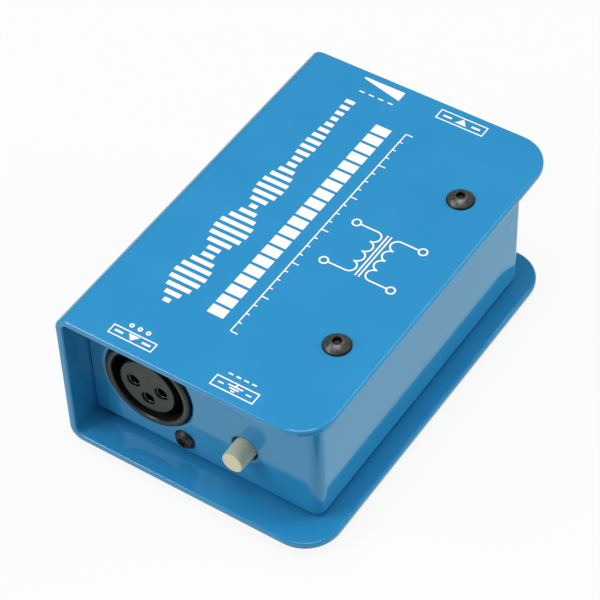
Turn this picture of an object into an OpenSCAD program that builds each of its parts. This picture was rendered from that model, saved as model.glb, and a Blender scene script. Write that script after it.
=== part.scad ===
// Passive re-amping box: a folded steel cover over a U chassis, with its connectors and transformer.
// Millimetres. +X right, -Y front (XLR side), +Z up. Origin: middle of the pad's underside.

/* [Cover] */
// Width of the cover over the fold and the free edges
cover_w = 67.8; // [65:0.2:84]
// Depth of the cover's plates, front to rear
cover_d = 103; // [98:0.5:130]
// Height of the cover over both plates
cover_h = 40.8; // [39:0.2:58]
// Thickness of the steel sheet, cover and chassis
sheet = 1.9; // [1.3:0.1:2.3]
// Outside radius of the cover's two folds
fold_r = 3.6; // [2.8:0.1:5]
// Radius of the plates' free corners
corner_r = 9.2; // [5:0.1:14]

/* [Chassis] */
// How far the front panel stands back from the cover's front edge
front_recess = 8.1; // [6.5:0.1:10]
// How far the rear panel stands back from the cover's rear edge
rear_recess = 7.1; // [6:0.1:7.6]
// How far the right wall stands back from the cover's free edge
side_recess = 4.5; // [3:0.1:5.5]
// Outside radius of the chassis folds
chassis_fold_r = 2.9; // [2.5:0.1:3.6]
// Width of the two screw flanges on the right wall
flange_w = 11; // [10:0.5:12]
// Distance of the screw flanges' ends from the panels
flange_relief = 7; // [5:0.5:12]

/* [Pad and cover screws] */
// Thickness of the no-slip pad
pad_t = 3; // [2.2:0.1:4]
// How far the pad stays inside the bottom plate's edge
pad_inset = 4; // [3:0.5:7]
// Radius of a button head
screw_head_r = 3.33; // [2.8:0.01:3.6]
// Height of a button head
screw_head_h = 1.85; // [1.5:0.05:2.1]
// Radius of a cover screw's thread
screw_r = 1.75; // [1.4:0.05:1.9]
// Length of a cover screw under its head
screw_len = 6.35; // [5.6:0.05:7]
// Distance of the cover screws from the right wall's face
screw_from_side = 6.3; // [6:0.1:7]
// Distance between the cover screws, front to rear
screw_span = 51.5; // [40:0.5:60]

/* [Circuit board] */
// Thickness of the circuit board
board_t = 1.6; // [1.2:0.1:2]
// Air under the board, above the chassis flange
board_lift = 0.6; // [0.4:0.1:1.5]
// Distance of the board's front edge behind the front panel
board_setback = 8.2; // [8:0.1:9]

/* [XLR input] */
// Socket axis from the cover's left face
xlr_from_left = 17.9; // [16.8:0.1:18.4]
// Height of the socket axis above the board
xlr_rise = 14.4; // [14:0.1:15]
// Outside radius of the ring in the panel
xlr_ring_r = 11.5; // [11.1:0.05:12]
// Inside radius of the groove that takes the plug's shell
xlr_groove_r = 9.8; // [9.6:0.05:10]
// Radius of the insert
xlr_insert_r = 7.4; // [7.1:0.05:7.8]
// Depth of the groove
xlr_groove_depth = 16; // [14:0.5:17]
// Radius of the circle through the three contacts
xlr_contact_pcr = 3.81; // [3.7:0.01:3.95]
// How far the ring stands out of the panel
xlr_proud = 0.75; // [0.2:0.05:1]

/* [Ground lift] */
// Button axis from the right wall's face
lift_from_side = 19.7; // [18:0.1:20.5]
// Height of the button axis above the board
lift_rise = 9.2; // [8:0.1:10]
// Radius of the button
button_r = 2.75; // [2.4:0.05:3.2]
// How far the button stands out of the panel
button_out = 5; // [4:0.1:6.5]
// Travel of the button
button_travel = 3; // [2:0.1:3]

/* [Level control] */
// Control axis from the jack axis
rear_pitch = 20.3; // [18.5:0.1:22]
// Radius of the control's can
pot_r = 8; // [7.5:0.1:8.2]
// Radius of the shaft
shaft_r = 3; // [2.8:0.05:3.1]
// Radius of the knob
knob_r = 7.75; // [7.5:0.05:9]
// Height of the knob
knob_h = 9.2; // [8.8:0.1:14]
// Number of grip flutes round the knob
knob_flutes = 20; // [12:1:28]

/* [Output jack] */
// Jack axis from the right wall's face
jack_from_side = 20; // [19:0.1:20.1]
// Radius of the jack's bore
jack_bore_r = 3.25; // [3.2:0.01:3.3]
// Height of the jack and control axes above the board
rear_rise = 8.5; // [8.3:0.1:9.5]
// Length of the jack housing behind the panel
jack_len = 26; // [25:0.5:28]

/* [Transformer] */
// Width of the core
core_w = 30; // [28:0.5:30.5]
// Height of the core
core_h = 25; // [22:0.5:27]
// Thickness of the lamination stack
core_d = 12; // [9:0.5:13]

/* [Hidden] */
$fn = 64;

// Clearances
slip = 0.15;          // panel edges to the cover
thread_gap = 0.05;    // screw to its tapped hole, piece to its seat
run_gap = 0.05;       // shaft in its bushing
hole_gap = 0.25;      // fixed piece in its panel hole
move_gap = 0.3;       // between pieces that move past each other
pin_gap = 0.2;        // terminal in its board hole
over = 1;             // cutters run past the faces they cut

// Main faces
x_left = -cover_w / 2;
x_right = cover_w / 2;
y_front = -cover_d / 2;
y_rear = cover_d / 2;
z_under = pad_t;
z_top = pad_t + cover_h;
z_floor = z_under + sheet;
z_ceiling = z_top - sheet;
x_wall = x_left + sheet;
x_side = x_right - side_recess;
y_panel = y_front + front_recess;
y_panel_in = y_panel + sheet;
y_back = y_rear - rear_recess;
y_back_in = y_back - sheet;

// Cover screws, in tapped collars on the flanges
screw_x = x_side - screw_from_side;
screw_ys = [-screw_span / 2, screw_span / 2];
collar_wall = 0.75;
collar_r = screw_r + collar_wall;
collar_h = screw_len - 2 * sheet;
hex_socket_r = 1.15;
hex_socket_depth = 1.1;

// Board and solder tails
board_z = z_floor + sheet + board_lift;
board_top = board_z + board_t;
board_margin = 0.8;
board_x = [x_wall + board_margin, screw_x - collar_r - board_margin];
board_y = [y_panel_in + board_setback, y_back_in - board_margin];
tail_len = 1.2;
tail_z = board_z - tail_len;
pin_r = 0.4;

// XLR socket, measured from the front panel's inner face
xlr_x = x_left + xlr_from_left;
xlr_z = board_top + xlr_rise;
xlr_face = sheet + xlr_proud;
xlr_seat = xlr_face - xlr_groove_depth;
xlr_bevel = 0.4;
xlr_gap = 0.2;
xlr_len = 21;
xlr_plate = [26, 30, 3];
xlr_foot_w = 18;
xlr_tail_gap = 1.5;
xlr_tail = xlr_len + xlr_tail_gap;
insert_recess = 0.3;
shoulder_w = 1.2;
shoulder_h = 1.5;
contact_r = 1.7;
contact_wall = 0.45;
contact_recess = 2;
contact_plug_len = 3;
contact_plug = contact_plug_len - xlr_len;
contact_at = [[-xlr_contact_pcr, 0], [0, -xlr_contact_pcr], [xlr_contact_pcr, 0]];
xlr_screw_at = [9.2, -12.6];
xlr_screw_r = 1.3;
xlr_screw_len = 7.9;
xlr_head_r = 2.75;
xlr_head_h = 1.7;
xlr_recess_w = 0.8;
xlr_boss_r = 2.9;
xlr_boss_len = 7;

// Lift switch, measured from the front panel's inner face
lift_x = x_side - lift_from_side;
lift_z = board_top + lift_rise;
button_gap = 0.65;
button_hole_r = button_r + button_gap;
button_back = 3.4;
button_edge = 0.5;
button_tip = sheet + button_out;
plunger_r = 1.6;
button_crown = 2.5;
plunger_tip = button_tip - button_crown;
switch_w = 10;
switch_over = 5.5;
switch_len = 16;
switch_wall = 2;
switch_front = button_back + button_travel + 2 * move_gap;
switch_end = switch_front + switch_len;
cavity_r = 3.6;
cavity_end = switch_end - switch_wall;
stop_r = cavity_r - move_gap;
stop_at = switch_front + switch_wall + move_gap;
stop_t = 2;
stop_end = stop_at + stop_t;
guide_len = 5;
plunger_end = stop_end + guide_len;
spring_r = 2.55;
wire_r = 0.25;
spring_turns = 5;
switch_row = 6;
switch_pitch = 4.8;

// Level control, measured from the rear panel's inner face
jack_x = x_side - jack_from_side;
pot_x = jack_x - rear_pitch;
rear_z = board_top + rear_rise;
pot_plate_t = 1.5;
pot_skin = 0.6;
pot_depth = 9.5;
wafer_t = 1.6;
wafer_z = [-pot_plate_t - wafer_t, -pot_plate_t];
wafer_tongue_w = 12;
pot_pitch = 4;
pot_thread_wall = 0.6;
pot_thread_r = shaft_r + pot_thread_wall;
pot_washer_r = 5.6;
pot_nut_r = 5.77;
pot_washer_t = 0.5;
pot_nut_t = 2;
pot_thread_past = 0.9;
pot_washer_z = [sheet, sheet + pot_washer_t];
pot_nut_z = [pot_washer_z[1], pot_washer_z[1] + pot_nut_t];
pot_thread_end = pot_nut_z[1] + pot_thread_past;
rotor_r = 5.6;
rotor_t = 1.8;
rotor_gap = 1.2;
rotor_z = [wafer_z[0] - rotor_gap - rotor_t, wafer_z[0] - rotor_gap];
wiper_r = 0.6;

// Knob
knob_gap = 0.7;
knob_z = [sheet + knob_gap, sheet + knob_gap + knob_h];
knob_bevel = 0.7;
nut_gap = 0.5;
knob_recess_r = pot_nut_r + nut_gap;
knob_recess_end = pot_thread_end + move_gap;
flute_r = 0.6;
knob_crown = 1.2;
shaft_end = knob_z[1] - knob_crown;
set_screw_r = 1.25;
set_screw_z = (knob_recess_end + shaft_end) / 2;
set_screw_sunk = 1;
set_screw_span = [shaft_r + thread_gap, knob_r - set_screw_sunk];
set_socket_r = 0.75;
set_socket_depth = 1.2;
pointer_w = 1;
pointer_start = 1.5;
pointer_edge = 1.1;
pointer_depth = 0.5;
pointer_y = [pointer_start, knob_r - pointer_edge];
pointer_z = [knob_z[1] - pointer_depth, knob_z[1]];

// Output jack, measured from the rear panel's inner face
jack_w = 16;
jack_top = 8.5;
jack_thread_wall = 1.5;
jack_thread_r = jack_bore_r + jack_thread_wall;
jack_flange_r = 6.3;
jack_flange_t = 1.6;
jack_washer_r = 6.6;
jack_nut_r = 7.33;
jack_washer_t = 0.6;
jack_nut_t = 2.4;
jack_thread_past = 0.6;
jack_washer_z = [sheet, sheet + jack_washer_t];
jack_nut_z = [jack_washer_z[1], jack_washer_z[1] + jack_nut_t];
jack_thread_end = jack_nut_z[1] + jack_thread_past;
contact_t = 0.5;
tip_w = 3;
sleeve_w = 4;
tip_setback = 3;
tip_at = jack_len - tip_setback;
leaf_in = 0.15;
leaf_len = 6;
leaf_y = leaf_in - jack_bore_r;
leaf_end = leaf_len - tip_at;

// Transformer: the core's legs and yokes share its width and height
yoke = core_h / 5;
leg = core_w / 6;
clamp_t = 0.8;
clamp_w = 8;
tab_w = 3;
tf_gap = 2;
tf_pitch = 6;
tf_x = board_x[0] + tf_gap + clamp_t + core_w / 2;
tf_y = (y_panel_in + xlr_tail + y_back_in - jack_len) / 2;
tube_wall = 0.8;
cheek_t = 0.9;
rail_w = 2.4;
bobbin_size = [4 * leg - 2 * pin_gap, core_d + 2 * leg];
bobbin_z = [yoke + thread_gap, core_h - yoke - thread_gap];
tube_hole = [2 * leg + 2 * thread_gap, core_d + 2 * thread_gap];
tube_size = tube_hole + 2 * [tube_wall, tube_wall];
winding_step = (bobbin_size[0] - tube_size[0]) / 2 - pin_gap;
primary_size = tube_size + [winding_step, winding_step];
secondary_size = primary_size + [winding_step, winding_step];
winding_z = [bobbin_z[0] + cheek_t, bobbin_z[1] - cheek_t];

// Small parts, beside the transformer
small_gap = 5.3;
small_x = tf_x + core_w / 2 + clamp_t + small_gap;
lead_r = 0.3;
lead_span = 10.16;
resistor_r = 1.2;
resistor_len = 6.3;
resistor_pitch = 3;
resistor_z = board_top + resistor_r + pin_gap;
resistor_y = tf_y - lead_span / 2 - lead_r;
resistor_xs = [for (k = [-1, 0, 1]) small_x + k * resistor_pitch];
cap_w = 7.2;
cap_t = 3.5;
cap_h = 6.5;
cap_pitch = 5;
cap_gap = 3;
cap_y = tf_y + cap_gap + cap_t / 2;

// Places of the soldered pins on the board
xlr_pins = [for (c = contact_at) [xlr_x + c[0], y_panel_in + xlr_tail]];
switch_pins = [for (s = [-0.5, 0.5], k = [-1, 0, 1])
  [lift_x + s * switch_row, y_panel_in + (switch_front + switch_end) / 2 + k * switch_pitch]];
pot_pins = [for (k = [-1, 0, 1]) [pot_x + k * pot_pitch, y_back_in + (wafer_z[0] + wafer_z[1]) / 2]];
jack_pins = [for (z = [tip_at, jack_flange_t + contact_t / 2]) [jack_x, y_back_in - z]];
tf_pins = [for (s = [-0.5, 0.5], k = [-1, 0, 1])
  [tf_x + k * tf_pitch, tf_y + s * (bobbin_size[1] - rail_w)]];
resistor_pins = [for (x = resistor_xs, s = [-0.5, 0.5]) [x, resistor_y + s * lead_span]];
cap_pins = [for (s = [-0.5, 0.5]) [small_x + s * cap_pitch, cap_y]];
clamp_tabs = [for (s = [-0.5, 0.5]) [tf_x + s * (core_w + clamp_t), tf_y]];

// Local frames: z points out of the panel and y is up
module at_front(x, z) translate([x, y_panel_in, z]) rotate([90, 0, 0]) children();
module at_rear(x, z) translate([x, y_back_in, z]) rotate([90, 0, 180]) children();
module at_transformer() translate([tf_x, tf_y, board_top]) children();

// Shapes given by the spans they fill
module box(x, y, z) translate([x[0], y[0], z[0]]) cube([x[1] - x[0], y[1] - y[0], z[1] - z[0]]);
module mid_box(w, y, z) box([-w / 2, w / 2], y, z);
module rod(r, z) translate([0, 0, z[0]]) cylinder(r = r, h = z[1] - z[0]);
module hex(r, z) translate([0, 0, z[0]]) cylinder(r = r, h = z[1] - z[0], $fn = 6);
module bore(r, z) rod(r, [z[0] - over, z[1] + over]);
module pins(places, r, top) for (p = places) translate(p) rod(r, [tail_z, top]);

// Rectangle with round corners at its high x end, and at both ends when asked
module round_rect(x, y, r, both = false) {
  flat_x = both ? x[0] + r : x[0];
  translate([flat_x, y[0]]) square([x[1] - r - flat_x, y[1] - y[0]]);
  for (end = both ? [x[0] + r, x[1] - r] : [x[1] - r]) {
    translate([end - r, y[0] + r]) square([2 * r, y[1] - y[0] - 2 * r]);
    for (cy = [y[0] + r, y[1] - r]) translate([end, cy]) circle(r);
  }
}

// The same, round at the low x end
module round_left(x, y, r) mirror([1, 0]) round_rect([-x[1], -x[0]], y, r);

// Outline in x and z, drawn out along y
module along_y(y) translate([0, y[1], 0]) rotate([90, 0, 0]) linear_extrude(y[1] - y[0]) children();

// Dome of a screw head standing on z = 0
module dome(r, h) intersection() {
  ball_r = (r * r + h * h) / (2 * h);
  translate([0, 0, h - ball_r]) sphere(ball_r);
  rod(r + over, [0, h + over]);
}

// Cover: a C of sheet, open to the right, with round free corners
module cover_profile() difference() {
  round_left([x_left, x_right], [z_under, z_top], fold_r);
  round_left([x_wall, x_right + over], [z_floor, z_ceiling], fold_r - sheet);
}

module outer_cover() color("steelblue") difference() {
  intersection() {
    along_y([y_front, y_rear]) cover_profile();
    linear_extrude(z_top + over) round_rect([x_left - over, x_right], [y_front, y_rear], corner_r);
  }
  for (y = screw_ys) translate([screw_x, y, 0]) bore(screw_r + hole_gap, [z_under, z_top]);
}

// Chassis: a sheet with rolled edges round front panel, right wall and rear panel, and two screw flanges.
// Its section stands left of x = 0, the wall's outer face on that line
module chassis_section() intersection() {
  w = 2 * chassis_fold_r;
  difference() {
    round_rect([-w, 0], [z_floor, z_ceiling], chassis_fold_r);
    round_rect([-w - over, -sheet], [z_floor + sheet, z_ceiling - sheet], chassis_fold_r - sheet);
  }
  translate([-chassis_fold_r, z_floor]) square([chassis_fold_r, z_ceiling - z_floor]);
}

module chassis_corner() rotate_extrude(angle = 90) translate([chassis_fold_r, 0]) chassis_section();

// Front and rear panels, with left corners that clear the cover's folds
module chassis_panels() intersection() {
  x = [x_wall + slip, x_side - chassis_fold_r];
  union() {
    translate([x[1], y_panel, 0]) rotate([90, 0, -90]) linear_extrude(x[1] - x[0]) chassis_section();
    translate([x[0], y_back, 0]) rotate([90, 0, 90]) linear_extrude(x[1] - x[0]) chassis_section();
  }
  along_y([y_panel - over, y_back + over]) round_left([x[0], x_side], [z_floor, z_ceiling], fold_r - sheet);
}

module chassis_wall() {
  y = [y_panel + chassis_fold_r, y_back - chassis_fold_r];
  along_y(y) translate([x_side, 0]) chassis_section();
  translate([x_side - chassis_fold_r, y[0], 0]) rotate(-90) chassis_corner();
  translate([x_side - chassis_fold_r, y[1], 0]) chassis_corner();
}

module chassis_flanges() {
  x = [x_side - flange_w, x_side - chassis_fold_r];
  for (z = [z_floor, z_ceiling - sheet])
    box(x, [y_panel + flange_relief, y_back - flange_relief], [z, z + sheet]);
  for (y = screw_ys) translate([screw_x, y, 0]) {
    rod(collar_r, [z_floor + sheet, z_floor + sheet + collar_h]);
    rod(collar_r, [z_ceiling - sheet - collar_h, z_ceiling - sheet]);
  }
}

module panel_holes() {
  panel = [0, sheet];
  at_front(xlr_x, xlr_z) {
    bore(xlr_ring_r + xlr_gap, panel);
    for (s = [1, -1]) translate(s * xlr_screw_at) bore(xlr_screw_r + hole_gap, panel);
  }
  at_front(lift_x, lift_z) bore(button_hole_r, panel);
  at_rear(pot_x, rear_z) bore(pot_thread_r + hole_gap, panel);
  at_rear(jack_x, rear_z) bore(jack_thread_r + hole_gap, panel);
}

module inner_chassis() color("steelblue") difference() {
  union() {
    chassis_panels();
    chassis_wall();
    chassis_flanges();
  }
  panel_holes();
  for (y = screw_ys) translate([screw_x, y, 0]) bore(screw_r + thread_gap, [z_floor, z_ceiling]);
}

// Button-head screw standing on z = 0, thread down
module button_screw() {
  difference() {
    dome(screw_head_r, screw_head_h);
    hex(hex_socket_r, [screw_head_h - hex_socket_depth, screw_head_h + over]);
  }
  rod(screw_r, [-screw_len, 0]);
}

module cover_screws() color("dimgray") for (y = screw_ys) {
  translate([screw_x, y, z_top]) button_screw();
  translate([screw_x, y, z_under]) rotate([180, 0, 0]) button_screw();
}

module no_slip_pad() color("black") difference() {
  linear_extrude(pad_t) round_rect([x_left + max(pad_inset, fold_r + move_gap), x_right - pad_inset],
    [y_front + pad_inset, y_rear - pad_inset], max(over, corner_r - pad_inset), both = true);
  for (y = screw_ys) translate([screw_x, y, 0]) bore(screw_head_r + 2 * move_gap, [0, pad_t]);
}

module circuit_board() color("darkgreen") difference() {
  drill = [board_z, board_top];
  slot = [clamp_t, tab_w] + 2 * [pin_gap, pin_gap];
  box(board_x, board_y, drill);
  for (p = concat(xlr_pins, switch_pins, pot_pins, jack_pins, tf_pins)) translate(p)
    bore(pin_r + pin_gap, drill);
  for (p = concat(resistor_pins, cap_pins)) translate(p) bore(lead_r + pin_gap, drill);
  for (p = clamp_tabs) translate(p)
    mid_box(slot[0], [-slot[1] / 2, slot[1] / 2], [board_z - over, board_top + over]);
}

// XLR input
module xlr_housing() color("dimgray") at_front(xlr_x, xlr_z) difference() {
  union() {
    rod(xlr_ring_r, [-xlr_len, xlr_face - xlr_bevel]);
    translate([0, 0, xlr_face - xlr_bevel])
      cylinder(r1 = xlr_ring_r, r2 = xlr_ring_r - xlr_bevel, h = xlr_bevel);
    mid_box(xlr_plate[0], [-xlr_plate[1] / 2, xlr_plate[1] / 2], [-xlr_plate[2], 0]);
    mid_box(xlr_foot_w, [-xlr_rise, 0], [-xlr_len, -board_setback - board_margin]);
    for (s = [1, -1]) translate(s * xlr_screw_at) rod(xlr_boss_r, [-xlr_boss_len, 0]);
  }
  rod(xlr_groove_r, [xlr_seat, xlr_face + over]);
  translate([0, 0, xlr_face - xlr_bevel])
    cylinder(r1 = xlr_groove_r, r2 = xlr_groove_r + 2 * xlr_bevel, h = 2 * xlr_bevel);
  bore(xlr_insert_r + thread_gap, [-xlr_len, xlr_seat]);
  for (s = [1, -1]) translate(s * xlr_screw_at) bore(xlr_screw_r + thread_gap, [-xlr_boss_len, 0]);
}

module xlr_insert() color("darkslategray") at_front(xlr_x, xlr_z) difference() {
  union() {
    rod(xlr_insert_r, [-xlr_len, xlr_face - insert_recess]);
    rod(xlr_insert_r + shoulder_w, [xlr_seat, xlr_seat + shoulder_h]);
  }
  for (c = contact_at) translate(c) bore(contact_r + thread_gap, [-xlr_len, xlr_face]);
}

// Each contact is a tube with a plugged back end and a tail down to the board
module xlr_contacts() color("silver") for (i = [0:2]) {
  at_front(xlr_x, xlr_z) translate(contact_at[i]) {
    difference() {
      rod(contact_r, [-xlr_len, xlr_face - contact_recess]);
      rod(contact_r - contact_wall, [contact_plug, xlr_face]);
    }
    rod(pin_r, [-xlr_tail - pin_r, -xlr_len]);
  }
  translate(xlr_pins[i]) rod(pin_r, [tail_z, xlr_z + contact_at[i][1]]);
}

module xlr_screws() color("dimgray") at_front(xlr_x, xlr_z) for (s = [1, -1])
  translate([s * xlr_screw_at[0], s * xlr_screw_at[1], sheet]) {
    recess_z = [xlr_head_h / 2, xlr_head_h + over];
    arm = xlr_head_r / 2;
    difference() {
      dome(xlr_head_r, xlr_head_h);
      for (turn = [0, 90]) rotate(turn) mid_box(xlr_recess_w, [-arm, arm], recess_z);
    }
    rod(xlr_screw_r, [-xlr_screw_len, 0]);
  }

// Ground-lift switch
module switch_housing() color("white") at_front(lift_x, lift_z) difference() {
  mid_box(switch_w, [-lift_rise, switch_over], [-switch_end, -switch_front]);
  bore(plunger_r + move_gap, [-switch_front - switch_wall, -switch_front]);
  rod(cavity_r, [-cavity_end, -switch_front - switch_wall]);
}

module switch_terminals() color("silver") pins(switch_pins, pin_r, board_top);

module switch_plunger() color("ivory") at_front(lift_x, lift_z) {
  rod(plunger_r, [-plunger_end, plunger_tip]);
  rod(stop_r, [-stop_end, -stop_at]);
}

module lift_button() color("ivory") at_front(lift_x, lift_z) difference() {
  union() {
    rod(button_r, [-button_back, button_tip - button_edge]);
    rod(button_r - button_edge, [button_tip - over, button_tip]);
    translate([0, 0, button_tip - button_edge]) rotate_extrude()
      translate([button_r - button_edge, 0]) circle(button_edge);
  }
  rod(plunger_r + thread_gap, [-button_back - over, plunger_tip]);
}

// Coil of round wire along z, swept ring by ring
module coil(r, wire, z, turns, rings = 16, sides = 6) {
  n = turns * rings;
  points = [for (i = [0:n], k = [0:sides - 1])
    let (a = 360 * i / rings, b = 360 * k / sides, q = r + wire * cos(b))
      [q * cos(a), q * sin(a), z[0] + (z[1] - z[0]) * i / n + wire * sin(b)]];
  skin = [for (i = [0:n - 1], k = [0:sides - 1])
    let (m = (k + 1) % sides) [i * sides + k, i * sides + m, (i + 1) * sides + m, (i + 1) * sides + k]];
  caps = [[for (k = [0:sides - 1]) sides - 1 - k], [for (k = [0:sides - 1]) n * sides + k]];
  polyhedron(points, concat(skin, caps));
}

module switch_spring() color("silver") at_front(lift_x, lift_z) {
  rest = wire_r + thread_gap;
  coil(spring_r, wire_r, [rest - cavity_end, -stop_end - rest], spring_turns);
}

// Level control
module pot_can() color("silver") at_rear(pot_x, rear_z) difference() {
  rod(pot_r, [-pot_depth, -pot_plate_t]);
  rod(pot_r - pot_skin, [pot_skin - pot_depth, 0]);
  mid_box(wafer_tongue_w + 2 * pin_gap, [-pot_r - over, 0], [wafer_z[0] - pin_gap, 0]);
}

module pot_bushing() color("gainsboro") at_rear(pot_x, rear_z) difference() {
  union() {
    rod(pot_r, [-pot_plate_t, 0]);
    rod(pot_thread_r, [-pot_plate_t, pot_thread_end]);
  }
  bore(shaft_r + run_gap, [-pot_plate_t, pot_thread_end]);
}

module pot_wafer() color("saddlebrown") at_rear(pot_x, rear_z) difference() {
  union() {
    rod(pot_r - pot_skin - move_gap, wafer_z);
    mid_box(wafer_tongue_w, [-rear_rise, -pot_r / 2], wafer_z);
  }
  bore(shaft_r + 2 * move_gap, wafer_z);
}

module pot_terminals() color("silver") pins(pot_pins, pin_r, board_top);

module pot_washer() color("silver") at_rear(pot_x, rear_z) difference() {
  rod(pot_washer_r, pot_washer_z);
  bore(pot_thread_r + thread_gap, pot_washer_z);
}

module pot_nut() color("silver") at_rear(pot_x, rear_z) difference() {
  hex(pot_nut_r, pot_nut_z);
  bore(pot_thread_r + thread_gap, pot_nut_z);
}

module pot_shaft() color("gainsboro") at_rear(pot_x, rear_z) rod(shaft_r, [rotor_z[0] - over, shaft_end]);

module pot_rotor() color("black") at_rear(pot_x, rear_z) difference() {
  union() {
    rod(rotor_r, rotor_z);
    translate([0, rotor_r - 2 * wiper_r, 0]) rod(wiper_r, [rotor_z[0], wafer_z[0] - move_gap]);
  }
  bore(shaft_r + thread_gap, rotor_z);
}

module level_knob() color("black") at_rear(pot_x, rear_z) difference() {
  union() {
    rod(knob_r, [knob_z[0], knob_z[1] - knob_bevel]);
    translate([0, 0, knob_z[1] - knob_bevel])
      cylinder(r1 = knob_r, r2 = knob_r - knob_bevel, h = knob_bevel);
  }
  rod(knob_recess_r, [knob_z[0] - over, knob_recess_end]);
  rod(shaft_r + thread_gap, [knob_z[0], shaft_end]);
  for (i = [0:knob_flutes - 1]) rotate(360 * (i + 0.5) / knob_flutes)
    translate([knob_r + flute_r / 3, 0, 0]) rod(flute_r, [knob_recess_end, knob_z[1] + over]);
  at_set_screw() rod(set_screw_r + thread_gap, [0, knob_r + over]);
  mid_box(pointer_w, pointer_y, [pointer_z[0], pointer_z[1] + over]);
}

module knob_pointer() color("white") at_rear(pot_x, rear_z) mid_box(pointer_w, pointer_y, pointer_z);

// The set screw points down from the knob's axis
module at_set_screw() rotate([90, 0, 0]) translate([0, set_screw_z, 0]) children();

module knob_set_screw() color("silver") at_rear(pot_x, rear_z) at_set_screw() difference() {
  rod(set_screw_r, set_screw_span);
  hex(set_socket_r, [set_screw_span[1] - set_socket_depth, set_screw_span[1] + over]);
}

// Output jack
module jack_housing() color("black") at_rear(jack_x, rear_z) difference() {
  below = -rear_rise - over;
  mid_box(jack_w, [-rear_rise, jack_top], [-jack_len, 0]);
  bore(jack_bore_r + 2 * thread_gap, [-jack_len, 0]);
  rod(jack_flange_r + thread_gap, [-jack_flange_t, over]);
  mid_box(tip_w + 2 * pin_gap, [below, 0], [-tip_at - contact_t, leaf_end + pin_gap]);
  mid_box(sleeve_w + 2 * pin_gap, [below, -jack_bore_r],
    [-jack_flange_t - contact_t - pin_gap, over - jack_flange_t]);
}

module jack_bushing() color("gainsboro") at_rear(jack_x, rear_z) difference() {
  union() {
    rod(jack_flange_r, [-jack_flange_t, 0]);
    rod(jack_thread_r, [-jack_flange_t, jack_thread_end]);
  }
  bore(jack_bore_r, [-jack_flange_t, jack_thread_end]);
}

module jack_washer() color("silver") at_rear(jack_x, rear_z) difference() {
  rod(jack_washer_r, jack_washer_z);
  bore(jack_thread_r + thread_gap, jack_washer_z);
}

module jack_nut() color("silver") at_rear(jack_x, rear_z) difference() {
  hex(jack_nut_r, jack_nut_z);
  bore(jack_thread_r + thread_gap, jack_nut_z);
}

// The tip contact stands on the board and bends forward as a leaf into the bore
module jack_tip_contact() color("gold") {
  at_rear(jack_x, rear_z) {
    mid_box(tip_w, [-rear_rise, leaf_y], [-tip_at - contact_t / 2, contact_t / 2 - tip_at]);
    mid_box(tip_w, [leaf_y - contact_t, leaf_y], [-tip_at, leaf_end]);
  }
  pins([jack_pins[0]], pin_r, board_top + contact_t);
}

module jack_sleeve_contact() color("gold") {
  at_rear(jack_x, rear_z)
    mid_box(sleeve_w, [-rear_rise, -jack_bore_r - pin_gap], [-jack_flange_t - contact_t, -jack_flange_t]);
  pins([jack_pins[1]], pin_r, board_top + contact_t);
}

// Transformer
module core_e_stack() color("slategray") at_transformer() difference() {
  mid_box(core_w, [-core_d / 2, core_d / 2], [0, core_h - yoke]);
  for (x = [-2 * leg, leg]) box([x, x + leg], [-core_d, core_d], [yoke, core_h]);
}

module core_i_bar() color("slategray") at_transformer()
  mid_box(core_w, [-core_d / 2, core_d / 2], [core_h - yoke, core_h]);

// Rectangular sleeve round the centre leg
module sleeve(outer, inner, z) translate([0, 0, z[0]]) linear_extrude(z[1] - z[0]) difference() {
  square(outer, center = true);
  square(inner, center = true);
}

module bobbin() color("ivory") at_transformer() {
  sleeve(tube_size, tube_hole, bobbin_z);
  for (z = [bobbin_z[0], winding_z[1]]) sleeve(bobbin_size, tube_hole, [z, z + cheek_t]);
  for (s = [-0.5, 0.5]) translate([0, s * (bobbin_size[1] - rail_w), 0])
    mid_box(bobbin_size[0], [-rail_w / 2, rail_w / 2], [0, winding_z[0]]);
}

module primary_winding() color("peru") at_transformer() sleeve(primary_size, tube_size, winding_z);

module secondary_winding() color("goldenrod") at_transformer()
  sleeve(secondary_size, primary_size, winding_z);

module transformer_clamp() color("silver") at_transformer() {
  side = [core_w / 2, core_w / 2 + clamp_t];
  strap = [-clamp_w / 2, clamp_w / 2];
  mid_box(2 * side[1], strap, [core_h, core_h + clamp_t]);
  for (turn = [0, 180]) rotate(turn) {
    box(side, strap, [0, core_h + clamp_t]);
    box(side, [-tab_w / 2, tab_w / 2], [tail_z - board_top, over]);
  }
}

module transformer_pins() color("silver") pins(tf_pins, pin_r, board_top);

// Small parts
module resistors() color("tan") {
  for (x = resistor_xs) translate([x, resistor_y, resistor_z]) rotate([90, 0, 0]) {
    rod(resistor_r, [-resistor_len / 2, resistor_len / 2]);
    rod(lead_r, [-lead_span / 2 - lead_r, lead_span / 2 + lead_r]);
  }
  pins(resistor_pins, lead_r, resistor_z);
}

module film_capacitor() color("firebrick") {
  translate([small_x, cap_y, board_top]) mid_box(cap_w, [-cap_t / 2, cap_t / 2], [0, cap_h]);
  pins(cap_pins, lead_r, board_top + over);
}

outer_cover();
inner_chassis();
cover_screws();
no_slip_pad();
circuit_board();
xlr_housing();
xlr_insert();
xlr_contacts();
xlr_screws();
switch_housing();
switch_terminals();
switch_plunger();
switch_spring();
lift_button();
pot_can();
pot_bushing();
pot_wafer();
pot_terminals();
pot_washer();
pot_nut();
pot_shaft();
pot_rotor();
level_knob();
knob_pointer();
knob_set_screw();
jack_housing();
jack_bushing();
jack_washer();
jack_nut();
jack_tip_contact();
jack_sleeve_contact();
core_e_stack();
core_i_bar();
bobbin();
primary_winding();
secondary_winding();
transformer_clamp();
transformer_pins();
resistors();
film_capacitor();
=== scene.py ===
from math import atan2, cos, hypot, pi, radians, sin, sqrt, tan
import bmesh
import bpy
from mathutils import Matrix, Vector


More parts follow.
